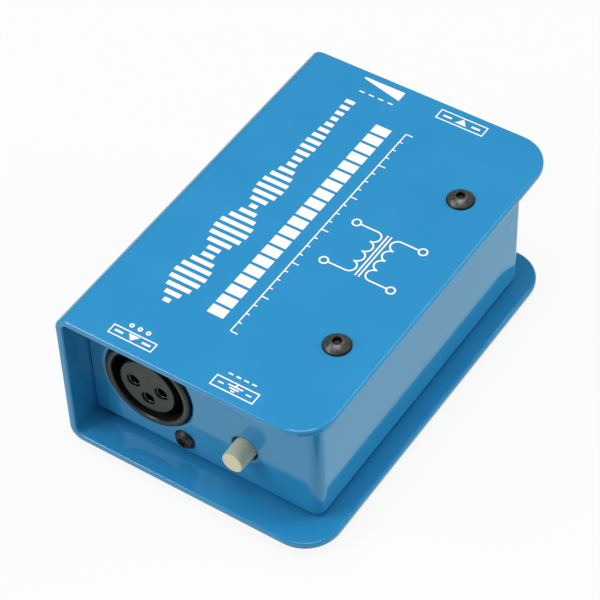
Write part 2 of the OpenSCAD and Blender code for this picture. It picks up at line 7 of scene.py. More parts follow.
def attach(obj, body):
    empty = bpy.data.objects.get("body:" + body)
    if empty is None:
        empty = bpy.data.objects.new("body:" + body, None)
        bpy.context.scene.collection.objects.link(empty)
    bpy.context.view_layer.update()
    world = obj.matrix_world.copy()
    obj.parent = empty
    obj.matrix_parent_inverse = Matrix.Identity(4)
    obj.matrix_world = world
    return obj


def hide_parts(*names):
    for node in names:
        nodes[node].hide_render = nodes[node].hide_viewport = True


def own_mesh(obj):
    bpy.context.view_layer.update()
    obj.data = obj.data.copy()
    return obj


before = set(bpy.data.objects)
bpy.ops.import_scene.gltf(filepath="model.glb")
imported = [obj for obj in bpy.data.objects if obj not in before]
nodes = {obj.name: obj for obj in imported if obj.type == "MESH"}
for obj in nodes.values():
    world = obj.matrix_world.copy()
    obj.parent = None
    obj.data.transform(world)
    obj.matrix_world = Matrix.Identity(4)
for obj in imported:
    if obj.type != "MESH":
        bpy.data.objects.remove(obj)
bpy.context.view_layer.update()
mm = 0.001
pinR = 0.02  # a ring this small closes an end on its axis
cloudLow, cloudHigh = 0.3, 0.7  # most of a cloud's values lie between these
print("frame loaded with", len(nodes), "nodes")

# Finishes: every one reads Object coordinates, sizes in millimetres


def tone(red, green, blue):  # a colour as seen on screen, 0 to 255
    def straight(c):
        c /= 255
        return c / 12.92 if c <= 0.04045 else ((c + 0.055) / 1.055) ** 2.4
    return (straight(red), straight(green), straight(blue), 1)


def newFinish(name, metal=0.0, ior=1.5):
    finish = bpy.data.materials.new(name)
    finish.use_nodes = True
    tree = finish.node_tree
    shader = tree.nodes["Principled BSDF"]
    shader.inputs["Metallic"].default_value = metal
    shader.inputs["IOR"].default_value = ior
    spot = tree.nodes.new("ShaderNodeTexCoord").outputs["Object"]
    return finish, tree, shader, spot


def stretch(tree, spot, scale):
    node = tree.nodes.new("ShaderNodeMapping")
    node.inputs["Scale"].default_value = scale
    tree.links.new(spot, node.inputs["Vector"])
    return node.outputs["Vector"]


def cloud(tree, spot, size, detail=3.0):
    node = tree.nodes.new("ShaderNodeTexNoise")
    node.inputs["Scale"].default_value = 1 / (size * mm)
    node.inputs["Detail"].default_value = detail
    tree.links.new(spot, node.inputs["Vector"])
    return node.outputs[0]


def stripes(tree, spot, size, axis, wobble=0.0):
    node = tree.nodes.new("ShaderNodeTexWave")
    node.bands_direction = axis
    node.inputs["Scale"].default_value = pi / (10 * size * mm)  # one stripe each size
    node.inputs["Distortion"].default_value = wobble
    tree.links.new(spot, node.inputs["Vector"])
    return node.outputs["Fac"]


def cells(tree, spot, size):
    node = tree.nodes.new("ShaderNodeTexVoronoi")
    node.inputs["Scale"].default_value = 1 / (size * mm)
    tree.links.new(spot, node.inputs["Vector"])
    return node.outputs["Distance"]


def colourBy(tree, shader, value, stops, hard=False):
    node = tree.nodes.new("ShaderNodeValToRGB")
    node.color_ramp.interpolation = "CONSTANT" if hard else "LINEAR"
    points = node.color_ramp.elements
    for at, _ in stops[2:]:
        points.new(at)
    for point, (at, colour) in zip(points, sorted(stops, key=lambda s: s[0])):
        point.position = at
        point.color = colour
    tree.links.new(value, node.inputs["Fac"])
    tree.links.new(node.outputs["Color"], shader.inputs["Base Color"])


def roughenBy(tree, shader, value, low, high):
    node = tree.nodes.new("ShaderNodeMapRange")
    node.inputs["From Min"].default_value = cloudLow
    node.inputs["From Max"].default_value = cloudHigh
    node.inputs["To Min"].default_value = low
    node.inputs["To Max"].default_value = high
    tree.links.new(value, node.inputs["Value"])
    tree.links.new(node.outputs["Result"], shader.inputs["Roughness"])


def relief(tree, shader, height, depth, under=None):
    node = tree.nodes.new("ShaderNodeBump")
    node.inputs["Distance"].default_value = depth * mm
    node.inputs["Strength"].default_value = 1
    tree.links.new(height, node.inputs["Height"])
    if under:
        tree.links.new(under, node.inputs["Normal"])
    tree.links.new(node.outputs["Normal"], shader.inputs["Normal"])
    return node.outputs["Normal"]


def mottled(name, dark, light, rough, patch, grain, depth, metal=0.0):
    # two near colours in soft patches, a roughness that follows them, and a fine grain
    finish, tree, shader, spot = newFinish(name, metal)
    patches = cloud(tree, spot, patch)
    colourBy(tree, shader, patches, [(cloudLow, dark), (cloudHigh, light)])
    roughenBy(tree, shader, patches, *rough)
    relief(tree, shader, cloud(tree, spot, grain), depth)
    return finish


def makeBrushed(name, dark, light, rough, axis):
    # fine turning lines over a plated metal
    finish, tree, shader, spot = newFinish(name, metal=1.0)
    scale = {"X": (0.06, 1, 1), "Y": (1, 0.06, 1), "Z": (1, 1, 0.06)}[axis]
    lines = cloud(tree, stretch(tree, spot, scale), 0.12, 2)
    colourBy(tree, shader, lines, [(cloudLow, dark), (cloudHigh, light)])
    roughenBy(tree, shader, lines, *rough)
    relief(tree, shader, lines, 0.004)
    return finish


def makeStriped(name, size, axis, stops, patch, rough, depth, metal=0.0, wobble=0.0):
    # stacked sheets, wire turns or tape wraps
    finish, tree, shader, spot = newFinish(name, metal)
    lines = stripes(tree, spot, size, axis, wobble)
    colourBy(tree, shader, lines, stops)
    roughenBy(tree, shader, cloud(tree, spot, patch), *rough)
    relief(tree, shader, lines, depth)
    return finish


def makeBluePaint():
    finish, tree, shader, spot = newFinish("bluePaint", ior=1.46)
    haze = cloud(tree, spot, 14, 4)
    colourBy(tree, shader, haze, [(cloudLow, tone(43, 140, 193)), (cloudHigh, tone(47, 143, 196))])
    roughenBy(tree, shader, cloud(tree, spot, 3), 0.07, 0.12)
    peel = relief(tree, shader, cloud(tree, spot, 1.1, 1), 0.008)  # slight orange peel
    relief(tree, shader, cloud(tree, spot, 9, 1), 0.012, under=peel)
    return finish


def makePadRubber():
    finish, tree, shader, spot = newFinish("padRubber", ior=1.45)
    patches = cloud(tree, spot, 6)
    colourBy(tree, shader, patches, [(cloudLow, tone(26, 26, 27)), (cloudHigh, tone(36, 36, 37))])
    roughenBy(tree, shader, patches, 0.75, 0.9)
    pores = relief(tree, shader, cells(tree, spot, 0.9), 0.12)
    relief(tree, shader, cloud(tree, spot, 0.25), 0.03, under=pores)
    return finish


def makeBoardLaminate():
    finish, tree, shader, spot = newFinish("boardLaminate")
    weave = stripes(tree, spot, 0.7, "X", 0.4)
    tracks = cells(tree, stretch(tree, spot, (1, 0.35, 1)), 5.5)
    stops = [(0.0, tone(20, 84, 50)), (0.32, tone(24, 96, 58)), (0.36, tone(13, 66, 40))]
    colourBy(tree, shader, tracks, stops)
    roughenBy(tree, shader, cloud(tree, spot, 2), 0.25, 0.4)
    relief(tree, shader, weave, 0.01)
    return finish


def makeResistorLacquer():
    finish, tree, shader, spot = newFinish("resistorLacquer")
    bands = stripes(tree, spot, 1.7, "Y")
    body = tone(196, 168, 122)
    stops = [(0.0, tone(92, 48, 26)), (0.14, body), (0.8, body), (0.9, tone(38, 34, 34))]
    colourBy(tree, shader, bands, stops, hard=True)
    roughenBy(tree, shader, cloud(tree, spot, 1), 0.3, 0.45)
    relief(tree, shader, cloud(tree, spot, 0.5), 0.02)
    return finish


bluePaint = makeBluePaint()
blackOxide = mottled("blackOxide", tone(24, 25, 25), tone(38, 39, 38), (0.42, 0.56), 0.9, 0.18, 0.01,
                     metal=0.6)
domeOxide = mottled("domeOxide", tone(66, 67, 64), tone(100, 100, 95), (0.32, 0.46), 0.7, 0.16, 0.012,
                    metal=0.6)
greyOxide = mottled("greyOxide", tone(46, 48, 47), tone(66, 67, 65), (0.36, 0.5), 0.7, 0.16, 0.012,
                    metal=0.6)
padRubber = makePadRubber()
whiteInk = mottled("whiteInk", tone(240, 243, 245), tone(249, 250, 251), (0.35, 0.5), 2.0, 0.3, 0.004)
socketPlastic = mottled("socketPlastic", tone(27, 27, 28), tone(35, 35, 35), (0.28, 0.4), 2.5, 0.2, 0.008)
insertPlastic = mottled("insertPlastic", tone(38, 42, 40), tone(45, 49, 47), (0.42, 0.55), 2.0, 0.16, 0.016)
ivoryPlastic = mottled("ivoryPlastic", tone(219, 214, 180), tone(228, 223, 190), (0.32, 0.45), 3.0, 0.25,
                       0.008)
knobPlastic = mottled("knobPlastic", tone(27, 27, 28), tone(36, 36, 37), (0.36, 0.5), 2.0, 0.14, 0.02)
phenolicSheet = mottled("phenolicSheet", tone(98, 60, 32), tone(126, 80, 46), (0.4, 0.55), 1.5, 0.2, 0.02)
capacitorShell = mottled("capacitorShell", tone(142, 34, 26), tone(160, 42, 32), (0.2, 0.3), 2.0, 0.3, 0.01)
nickelPlate = makeBrushed("nickelPlate", tone(186, 184, 178), tone(216, 214, 209), (0.14, 0.26), "Y")
zincPlate = makeBrushed("zincPlate", tone(158, 162, 168), tone(196, 199, 203), (0.3, 0.45), "X")
tinPlate = makeBrushed("tinPlate", tone(186, 187, 190), tone(220, 221, 223), (0.2, 0.32), "Z")
# tin darkened as painted shade for the contacts deep in the XLR holes
shadedTin = makeBrushed("shadedTin", tone(64, 66, 66), tone(88, 90, 90), (0.16, 0.26), "Y")
giltContact = makeBrushed("giltContact", tone(190, 146, 66), tone(226, 184, 98), (0.18, 0.3), "Y")
coreIron = makeStriped("coreIron", 0.5, "Y", [(0.1, tone(52, 54, 58)), (0.5, tone(104, 106, 110))],
                       1.5, (0.4, 0.6), 0.06, metal=0.6)
copperWire = makeStriped("copperWire", 0.22, "Z", [(0.1, tone(120, 58, 26)), (0.6, tone(196, 112, 62))],
                         1, (0.25, 0.4), 0.08, metal=0.9)
windingTape = makeStriped("windingTape", 3.5, "Z", [(0.05, tone(176, 142, 36)), (0.2, tone(222, 188, 66))],
                          2, (0.22, 0.36), 0.04, wobble=0.3)
boardLaminate = makeBoardLaminate()
resistorLacquer = makeResistorLacquer()
print("finishes ready")

# CAD nodes that keep their own shape


def dressNode(finish, *names):
    for name in names:
        node = nodes[name]
        node.data.materials.clear()
        node.data.materials.append(finish)


dressNode(padRubber, "no_slip_pad")
dressNode(boardLaminate, "circuit_board")
dressNode(tinPlate, "xlr_contacts", "switch_terminals", "pot_terminals", "transformer_pins")
dressNode(knobPlastic, "switch_housing", "pot_rotor", "jack_housing")
dressNode(ivoryPlastic, "switch_plunger", "bobbin")
dressNode(zincPlate, "pot_can", "pot_bushing", "pot_shaft", "transformer_clamp")
dressNode(phenolicSheet, "pot_wafer")
dressNode(nickelPlate, "pot_washer", "pot_nut")
dressNode(blackOxide, "knob_set_screw")
dressNode(giltContact, "jack_tip_contact", "jack_sleeve_contact")
dressNode(coreIron, "core_e_stack", "core_i_bar")
dressNode(copperWire, "primary_winding")
dressNode(windingTape, "secondary_winding")
dressNode(resistorLacquer, "resistors")
dressNode(capacitorShell, "film_capacitor")
print("kept nodes dressed")

# Mesh tools, all in millimetres until a piece is finished


def edgesWhere(bm, test):
    return [e for e in bm.edges if all(test(v.co) for v in e.verts)]


def near(a, b):
    return abs(a - b) < 0.01


def vertsIn(geom):
    return [g for g in geom if isinstance(g, bmesh.types.BMVert)]


def edgesIn(geom):
    return [g for g in geom if isinstance(g, bmesh.types.BMEdge)]


def join(bm, other, place):
    other.transform(place)
    sheet = bpy.data.meshes.new("passing")
    other.to_mesh(sheet)
    other.free()
    bm.from_mesh(sheet)
    bpy.data.meshes.remove(sheet)


def spinEdges(bm, edges, centre, axis, angle, steps):
    geom = edges + list({v for e in edges for v in e.verts})
    spun = bmesh.ops.spin(bm, geom=geom, cent=centre, axis=axis, angle=angle, steps=steps)
    return edgesIn(spun["geom_last"])


def drawEdges(bm, edges, by):
    grown = bmesh.ops.extrude_edge_only(bm, edges=edges)["geom"]
    bmesh.ops.translate(bm, verts=vertsIn(grown), vec=by)
    return edgesIn(grown)


def addPlate(bm, outline, rounded, cornerR, holes, place, cornerSteps=14, margin=0.0):
    # flat sheet from a few corners, some of them rounded, with round holes in even margins
    plate = bmesh.new()
    corners = [plate.verts.new((u, v, 0)) for u, v in outline]
    plate.faces.new(corners)
    if rounded:
        bmesh.ops.bevel(plate, geom=[corners[i] for i in rounded], offset=cornerR, offset_type="OFFSET",
                        affect="VERTICES", segments=cornerSteps, profile=0.5, material=-1)
    bmesh.ops.delete(plate, geom=plate.faces[:], context="FACES_ONLY")
    rims = []
    for u, v, r, sides in holes:
        at = Matrix.Translation((u, v, 0))
        rim = bmesh.ops.create_circle(plate, segments=sides, radius=r + margin, matrix=at)["verts"]
        rims.append((at.inverted(), r / (r + margin), {e for p in rim for e in p.link_edges}))
    bmesh.ops.triangle_fill(plate, use_beauty=True, edges=plate.edges[:])
    for back, less, edges in rims if margin else ():
        grown = bmesh.ops.extrude_edge_only(plate, edges=list(edges))["geom"]
        bmesh.ops.scale(plate, vec=(less, less, 1), space=back, verts=vertsIn(grown))
    join(bm, plate, place)


def faceOut(bm, where, outward):
    # one known face tells which way the sheet looks
    bmesh.ops.remove_doubles(bm, verts=bm.verts[:], dist=0.005)
    bmesh.ops.recalc_face_normals(bm, faces=bm.faces[:])
    known = min(bm.faces, key=lambda f: (f.calc_center_median() - Vector(where)).length)
    if known.normal.dot(Vector(outward)) < 0:
        bmesh.ops.reverse_faces(bm, faces=bm.faces[:])


def thicken(bm, sheet):
    bmesh.ops.solidify(bm, geom=bm.faces[:], thickness=sheet)
    bmesh.ops.recalc_face_normals(bm, faces=bm.faces[:])


def roundEdges(bm, width, steps=3, sharp=50, pick=None):
    bm.normal_update()
    edges = [e for e in bm.edges if len(e.link_faces) == 2 and e.calc_face_angle() > radians(sharp)
             and (pick is None or pick(e))]
    bmesh.ops.bevel(bm, geom=edges, offset=width, offset_type="OFFSET", affect="EDGES", segments=steps,
                    profile=0.5, material=-1, clamp_overlap=False)


def stackRings(bm, sides, rings, place=Matrix(), closed=False):
    # a ring grown upwards: each step is (radius or radius by angle, height); closed ends where it began
    stack = bmesh.new()
    bmesh.ops.create_circle(stack, segments=sides, radius=1)
    edges = stack.edges[:]
    verts = stack.verts[:]
    for i, (size, z) in enumerate(rings + rings[:1] if closed else rings):
        if i:
            grown = bmesh.ops.extrude_edge_only(stack, edges=edges)["geom"]
            verts, edges = vertsIn(grown), edgesIn(grown)
        for v in verts:
            turn = atan2(v.co.y, v.co.x)
            r = size(turn) if callable(size) else size
            v.co = Vector((r * cos(turn), r * sin(turn), z))
    if closed:
        bmesh.ops.remove_doubles(stack, verts=stack.verts[:], dist=0.0005)
    else:
        bmesh.ops.holes_fill(stack, edges=[e for e in stack.edges if e.is_boundary], sides=0)
    bmesh.ops.recalc_face_normals(stack, faces=stack.faces[:])
    join(bm, stack, place)


def finishPiece(name, bm, finish, body, replaced=(), sharp=40, weighted=True):
    bmesh.ops.scale(bm, verts=bm.verts[:], vec=(mm, mm, mm))
    bm.normal_update()
    for f in bm.faces:
        f.smooth = True
    for e in bm.edges:
        e.smooth = len(e.link_faces) == 2 and e.calc_face_angle() < radians(sharp)
    mesh = bpy.data.meshes.new(name)
    bm.to_mesh(mesh)
    bm.free()
    piece = bpy.data.objects.new(name, mesh)
    bpy.context.scene.collection.objects.link(piece)
    for coat in finish if isinstance(finish, tuple) else (finish,):
        mesh.materials.append(coat)
    if weighted:
        soft = piece.modifiers.new("evenShading", "WEIGHTED_NORMAL")
        soft.keep_sharp = True
    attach(piece, body)
    if replaced:
        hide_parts(*replaced)
    print(name, "made:", len(mesh.polygons), "faces")
    return piece


def addBlock(bm, size, middle, edgeR, steps):
    bmesh.ops.create_cube(bm, size=1, matrix=Matrix.Translation(middle) @ Matrix.Diagonal((*size, 1)))
    roundEdges(bm, edgeR, steps)


def frontAt(x, z, y=-41.5):  # out of the front panel, from its inner face
    return Matrix.Translation((x, y, z)) @ Matrix.Rotation(pi / 2, 4, "X")


def rearAt(x, z, y=42.5):  # out of the rear panel, from its inner face
    return Matrix.Translation((x, y, z)) @ Matrix.Rotation(pi, 4, "Z") @ Matrix.Rotation(pi / 2, 4, "X")


# Outer cover: lid, left wall and bottom from one folded sheet

coverSizes = {"left": -33.9, "right": 33.9, "front": -51.5, "rear": 51.5, "under": 3.0, "top": 43.8,
              "sheet": 1.9, "foldR": 3.6, "foldSteps": 16, "cornerR": 9.2, "edgeR": 0.55,
              "screwX": 23.1, "screwY": 25.75, "screwHole": 2.0, "margin": 1.0}


def makeCover(c):
    bm = bmesh.new()
    foldX = c["left"] + c["foldR"]
    outline = [(foldX, c["front"]), (c["right"], c["front"]), (c["right"], c["rear"]), (foldX, c["rear"])]
    holes = [(c["screwX"], s * c["screwY"], c["screwHole"], 32) for s in (-1, 1)]
    for z in (c["top"], c["under"]):
        at = Matrix.Translation((0, 0, z))
        addPlate(bm, outline, (1, 2), c["cornerR"], holes, at, margin=c["margin"])
    lidEdge = edgesWhere(bm, lambda p: near(p.x, foldX) and near(p.z, c["top"]))
    turned = spinEdges(bm, lidEdge, (foldX, 0, c["top"] - c["foldR"]), (0, 1, 0), -pi / 2, c["foldSteps"])
    fallen = drawEdges(bm, turned, (0, 0, c["under"] - c["top"] + 2 * c["foldR"]))
    spinEdges(bm, fallen, (foldX, 0, c["under"] + c["foldR"]), (0, 1, 0), -pi / 2, c["foldSteps"])
    faceOut(bm, (0, 0, c["top"]), (0, 0, 1))
    thicken(bm, c["sheet"])
    roundEdges(bm, c["edgeR"])
    finishPiece("outerCover", bm, bluePaint, "case", ["outer_cover"])


makeCover(coverSizes)

# Inner chassis: front panel, right wall and rear panel with a folded rim and two screw flanges

chassisSizes = {"left": -31.85, "right": 29.4, "front": -43.4, "rear": 44.4, "low": 4.9, "high": 41.9,
                "sheet": 1.9, "foldR": 2.9, "foldSteps": 12, "trim": 1.0, "edgeR": 0.3, "margin": 1.0,
                "socketEdgeR": 0.9, "socketSteps": 4, "frontSpot": (-28.85, 28), "relief": 7.0,
                "flangeW": 11.0, "screwX": 23.1, "screwY": 25.75, "tapR": 1.8, "collarR": 2.5,
                "collarH": 2.55, "collarEdge": 0.3,
                "frontHoles": [(-16.0, 23.4, 11.7, 96), (-6.8, 10.8, 1.55, 24), (-25.2, 36.0, 1.55, 24),
                               (9.7, 18.2, 3.4, 48)],
                "rearHoles": [(-10.9, 17.5, 3.85, 48), (9.4, 17.5, 5.0, 48)]}


def makeChassis(c):
    bm = bmesh.new()
    r, left, right, steps = c["foldR"], c["left"], c["right"], c["foldSteps"]
    foldX, lowBend, highBend = right - r, c["low"] + r, c["high"] - r
    foldFront, foldRear = c["front"] + r, c["rear"] - r
    upright = Matrix.Rotation(pi / 2, 4, "X")
    panel = [(foldX, lowBend), (foldX, highBend), (left, highBend), (left, lowBend)]
    for y, holes, side in ((c["rear"], c["rearHoles"], -1), (c["front"], c["frontHoles"], 1)):
        addPlate(bm, panel, (), 0, holes, Matrix.Translation((0, y, 0)) @ upright, margin=c["margin"])
        for bend, turn in ((lowBend, side), (highBend, -side)):
            edge = edgesWhere(bm, lambda p: near(p.y, y) and near(p.z, bend))
            spinEdges(bm, edge, (0, y + side * r, bend), (1, 0, 0), turn * pi / 2, steps)
        ends = edgesWhere(bm, lambda p: near(p.x, foldX) and side * (p.y - y) < r + 0.01)
        turned = spinEdges(bm, ends, (foldX, y + side * r, 0), (0, 0, 1), side * pi / 2, steps)
    flange = right - c["flangeW"]
    flangeFront, flangeRear = c["front"] + c["relief"], c["rear"] - c["relief"]
    at = foldFront
    for y in (flangeFront, flangeRear, foldRear):
        turned = drawEdges(bm, turned, (0, y - at, 0))
        at = y
    holes = [(c["screwX"], s * c["screwY"], c["tapR"], 24) for s in (-1, 1)]
    flat = [(foldX, flangeFront), (foldX, flangeRear), (flange, flangeRear), (flange, flangeFront)]
    for z in (c["low"], c["high"]):
        addPlate(bm, flat, (), 0, holes, Matrix.Translation((0, 0, z)), margin=c["margin"])
    spotX, spotZ = c["frontSpot"]
    faceOut(bm, (spotX, c["front"], spotZ), (0, -1, 0))
    for z, down in ((c["low"], -1), (c["high"], 1)):  # left corners clear the cover's folds
        bmesh.ops.bisect_plane(bm, geom=bm.verts[:] + bm.edges[:] + bm.faces[:], dist=0.001,
                               plane_co=(left + c["trim"], 0, z), plane_no=(-1, 0, down), clear_outer=True)
    thicken(bm, c["sheet"])
    socketX, socketZ, socketR = c["frontHoles"][0][:3]

    def onSocketRim(edge):
        return all(near(v.co.y, c["front"]) and near(hypot(v.co.x - socketX, v.co.z - socketZ), socketR)
                   for v in edge.verts)

    roundEdges(bm, c["socketEdgeR"], c["socketSteps"], pick=onSocketRim)
    roundEdges(bm, c["edgeR"])
    for s in (-1, 1):
        for z, up in ((c["low"] + c["sheet"], 1), (c["high"] - c["sheet"], -1)):
            tip, edge = up * c["collarH"], up * c["collarEdge"]
            stackRings(bm, 32, [(c["tapR"], 0), (c["collarR"], 0), (c["collarR"], tip - edge),
                                (c["collarR"] - c["collarEdge"], tip), (c["tapR"], tip)],
                       Matrix.Translation((c["screwX"], s * c["screwY"], z)), closed=True)
    finishPiece("innerChassis", bm, bluePaint, "case", ["inner_chassis"])


makeChassis(chassisSizes)

# Cover screws: button heads with a hexagon socket

screwSizes = {"headR": 3.33, "headH": 1.85, "rim": 0.2, "brim": 0.08, "edges": (0.08, 0.2), "domeShadeR": 3.1,
              "threadR": 1.75, "length": 6.35, "tipIn": 0.3, "tipH": 0.4,
              "domeFrom": 0.02, "domeTo": 1.5, "domeSteps": 8, "lipR": 1.45, "lipIn": 1.4, "lipRise": 0.01,
              "hexR": 1.15, "hexMouth": 1.07, "mouthH": 0.12, "hexFloor": 0.97, "hexDepth": 1.45,
              "hexPoint": 0.35, "sides": 48, "turns": (0.35, -0.2), "at": [(23.1, -25.75), (23.1, 25.75)],
              "top": 43.8, "under": 3.0}


def hexRadius(r):
    flat = r * cos(pi / 6)
    return lambda turn: flat / cos((turn % (pi / 3)) - pi / 6)


def domeAt(c, r):
    height = c["headH"] - c["rim"]
    ball = (c["headR"] ** 2 + height ** 2) / (2 * height)
    return c["rim"] + height - ball + sqrt(ball ** 2 - r ** 2)


def screwRings(c):
    # from the thread's tip to the dome's inner end
    length, thread, head = c["length"], c["threadR"], c["headR"]
    rings = [(pinR, -length), (thread - c["tipIn"], -length), (thread, c["tipH"] - length), (thread, 0),
             (head - c["brim"], 0)]
    rings += [(head, z) for z in c["edges"]]
    for k in range(1, c["domeSteps"] + 1):
        r = head - c["domeFrom"] - k * (head - c["domeTo"]) / c["domeSteps"]
        rings.append((r, domeAt(c, r)))
    return rings


def makeCoverScrews(c):
    bm = bmesh.new()
    lip, floor = domeAt(c, c["lipR"]), c["headH"] - c["hexDepth"]
    rings = screwRings(c) + [(c["lipIn"], lip + c["lipRise"]), (hexRadius(c["hexR"] * c["hexMouth"]), lip),
                             (hexRadius(c["hexR"]), lip - c["mouthH"]),
                             (hexRadius(c["hexR"] * c["hexFloor"]), floor), (pinR, floor - c["hexPoint"])]
    upsideDown = Matrix.Rotation(pi, 4, "X")
    for (x, y), angle in zip(c["at"], c["turns"]):
        turn = Matrix.Rotation(angle, 4, "Z")
        stackRings(bm, c["sides"], rings, Matrix.Translation((x, y, c["top"])) @ turn)
        stackRings(bm, c["sides"], rings, Matrix.Translation((x, y, c["under"])) @ upsideDown @ turn)
    for f in bm.faces:  # the domes are grey; the black band round each rim and the black sockets are painted shade
        at = f.calc_center_median()
        off = min(hypot(at.x - x, at.y - y) for x, y in c["at"])
        outside = at.z > c["top"] + c["rim"] or at.z < c["under"] - c["rim"]
        f.material_index = int(outside and c["hexR"] < off < c["domeShadeR"])
    finishPiece("coverScrews", bm, (blackOxide, domeOxide), "case", ["cover_screws"],
                sharp=32)


makeCoverScrews(screwSizes)

# XLR input: shell with its back plate, insert with three holes, contact ends and two cross-slot screws

xlrSizes = {"x": -16.0, "z": 23.4, "ringR": 11.5, "grooveR": 9.8, "insertR": 7.4, "face": 2.65,
            "seat": -13.35, "back": -21, "bevel": 0.4, "ringEdgeR": 0.14, "play": 0.05, "insertFace": 2.35,
            "insertEdgeR": 0.3, "holeR": 1.75, "holeRing": 3.81, "shoulderW": 1.2, "shoulderH": 1.5,
            "plate": (26, 30, 3), "plateR": 2.0, "plateSteps": 6, "screwR": 1.3, "bossAt": (9.2, -12.6),
            "bossR": 2.9, "bossH": 7, "contact": (1.25, 1.7), "contactEnd": 0.65, "lip": 1.85, "lipSteps": 8,
            "footW": 18, "footDrop": 14.4, "footLap": 1.6, "footFront": -9, "footEdgeR": 0.3}
xlrScrewSizes = {"headR": 2.75, "headH": 1.7, "rim": 0.0, "brim": 0.08, "edges": (0.1,), "domeShadeR": 2.5,
                 "threadR": 1.3, "length": 7.9, "tipIn": 0.2, "tipH": 0.3, "domeFrom": 0.02, "domeTo": 1.5,
                 "domeSteps": 6, "lipR": 1.4, "slotArm": 1.35, "slotW": 0.8, "slotFloor": (0.8, 0.42),
                 "sides": 96, "turn": 0.5, "sheet": 1.9, "head": -43.6}


def bossPlaces(c):
    u, v = c["bossAt"]
    return (u, v), (-u, -v)


def makeXlrShell(c):
    bm = bmesh.new()
    place = frontAt(c["x"], c["z"])
    ring, groove, face, bevel = c["ringR"], c["grooveR"], c["face"], c["bevel"]
    seatR, screwR = c["insertR"] + c["play"], c["screwR"] + c["play"]
    stackRings(bm, 128, [(seatR, c["back"]), (ring, c["back"]), (ring, face - bevel), (ring - bevel, face),
                         (groove + bevel, face), (groove, face - bevel), (groove, c["seat"]),
                         (seatR, c["seat"])], place, closed=True)
    roundEdges(bm, c["ringEdgeR"], 2, 30)
    w, h, t = c["plate"]
    outline = [(-w / 2, -h / 2), (w / 2, -h / 2), (w / 2, h / 2), (-w / 2, h / 2)]
    holes = [(0, 0, ring, 128)] + [(u, v, screwR, 24) for u, v in bossPlaces(c)]
    plate = bmesh.new()
    addPlate(plate, outline, (0, 1, 2, 3), c["plateR"], holes, Matrix(), c["plateSteps"])
    faceOut(plate, (0, h / 2, 0), (0, 0, 1))
    thicken(plate, t)
    join(bm, plate, place)
    for u, v in bossPlaces(c):
        stackRings(bm, 32, [(screwR, -t), (c["bossR"], -t), (c["bossR"], -c["bossH"]), (screwR, -c["bossH"])],
                   place @ Matrix.Translation((u, v, 0)), closed=True)
    foot = bmesh.new()
    size = (c["footW"], c["footDrop"] - ring + c["footLap"], c["footFront"] - c["back"])
    middle = (0, size[1] / 2 - c["footDrop"], (c["footFront"] + c["back"]) / 2)
    addBlock(foot, size, middle, c["footEdgeR"], 2)
    join(bm, foot, place)
    finishPiece("xlrShell", bm, socketPlastic, "case", ["xlr_housing"], sharp=32)


def contactPlaces(c):
    ring = c["holeRing"]
    return (-ring, 0), (0, -ring), (ring, 0)


def makeXlrInsert(c):
    bm = bmesh.new()
    r, face, seat, step = c["insertR"], c["insertFace"], c["seat"], c["seat"] + c["shoulderH"]
    bmesh.ops.create_circle(bm, segments=96, radius=r, matrix=Matrix.Translation((0, 0, face)))
    for u, v in contactPlaces(c):
        bmesh.ops.create_circle(bm, segments=36, radius=c["holeR"], matrix=Matrix.Translation((u, v, face)))
    bmesh.ops.triangle_fill(bm, use_beauty=True, edges=bm.edges[:])
    faceOut(bm, (0, 0, face), (0, 0, 1))
    thicken(bm, face - c["back"])
    roundEdges(bm, c["insertEdgeR"], pick=lambda e: all(near(v.co.z, face) for v in e.verts))
    shoulderR = r + c["shoulderW"]
    stackRings(bm, 96, [(r, seat), (shoulderR, seat), (shoulderR, step), (r, step)], closed=True)
    bm.normal_update()
    for f in bm.faces:  # the sides, down in the groove and the holes, are painted in the darker shell plastic as painted shade
        f.material_index = 0 if f.normal.z > 0.5 else 1
    bm.transform(frontAt(c["x"], c["z"]))
    finishPiece("xlrInsert", bm, (insertPlastic, socketPlastic), "case", ["xlr_insert"])


def makeContactLips(c):
    # the rounded front ends of the contacts, which glint in their holes; their tin is darkened as painted
    # shade
    bm = bmesh.new()
    inner, outer = c["contact"]
    middle, r = (inner + outer) / 2, (outer - inner) / 2
    rings = [(inner, c["contactEnd"]), (outer, c["contactEnd"])]
    for k in range(c["lipSteps"] + 1):
        a = k * pi / c["lipSteps"]
        rings.append((middle + r * cos(a), c["lip"] - r + r * sin(a)))
    for u, v in contactPlaces(c):
        stackRings(bm, 36, rings, frontAt(c["x"], c["z"]) @ Matrix.Translation((u, v, 0)), closed=True)
    finishPiece("contactLips", bm, shadedTin, "case")


def crossRadius(arm, half):
    def radius(turn):
        a, b = max(abs(cos(turn)), 1e-6), max(abs(sin(turn)), 1e-6)
        return max(min(arm / a, half / b), min(arm / b, half / a))
    return radius


def makeXlrScrews(c, socket):
    bm = bmesh.new()
    arm, half = c["slotArm"], c["slotW"] / 2
    armLess, halfLess = c["slotFloor"]
    rings = screwRings(c) + [(crossRadius(arm, half), domeAt(c, c["lipR"])),
                             (crossRadius(arm * armLess, c["slotW"] * halfLess), c["headH"] / 2),
                             (pinR, c["headH"] / 3)]
    place = frontAt(socket["x"], socket["z"])
    for (u, v), s in zip(bossPlaces(socket), (1, -1)):
        turn = Matrix.Rotation(s * c["turn"], 4, "Z")
        stackRings(bm, c["sides"], rings, place @ Matrix.Translation((u, v, c["sheet"])) @ turn)
    for f in bm.faces:  # grey domes like the cover screws, with painted shade in the slots and round the rims
        at = f.calc_center_median()
        off = min(hypot(at.x - socket["x"] - u, at.z - socket["z"] - v) for u, v in bossPlaces(socket))
        f.material_index = int(at.y < c["head"] and arm < off < c["domeShadeR"])
    finishPiece("xlrScrews", bm, (blackOxide, greyOxide), "case", ["xlr_screws"], sharp=32)


makeXlrShell(xlrSizes)
makeXlrInsert(xlrSizes)
makeContactLips(xlrSizes)
makeXlrScrews(xlrScrewSizes, xlrSizes)

# Lift button: a moulded cap with a little draft

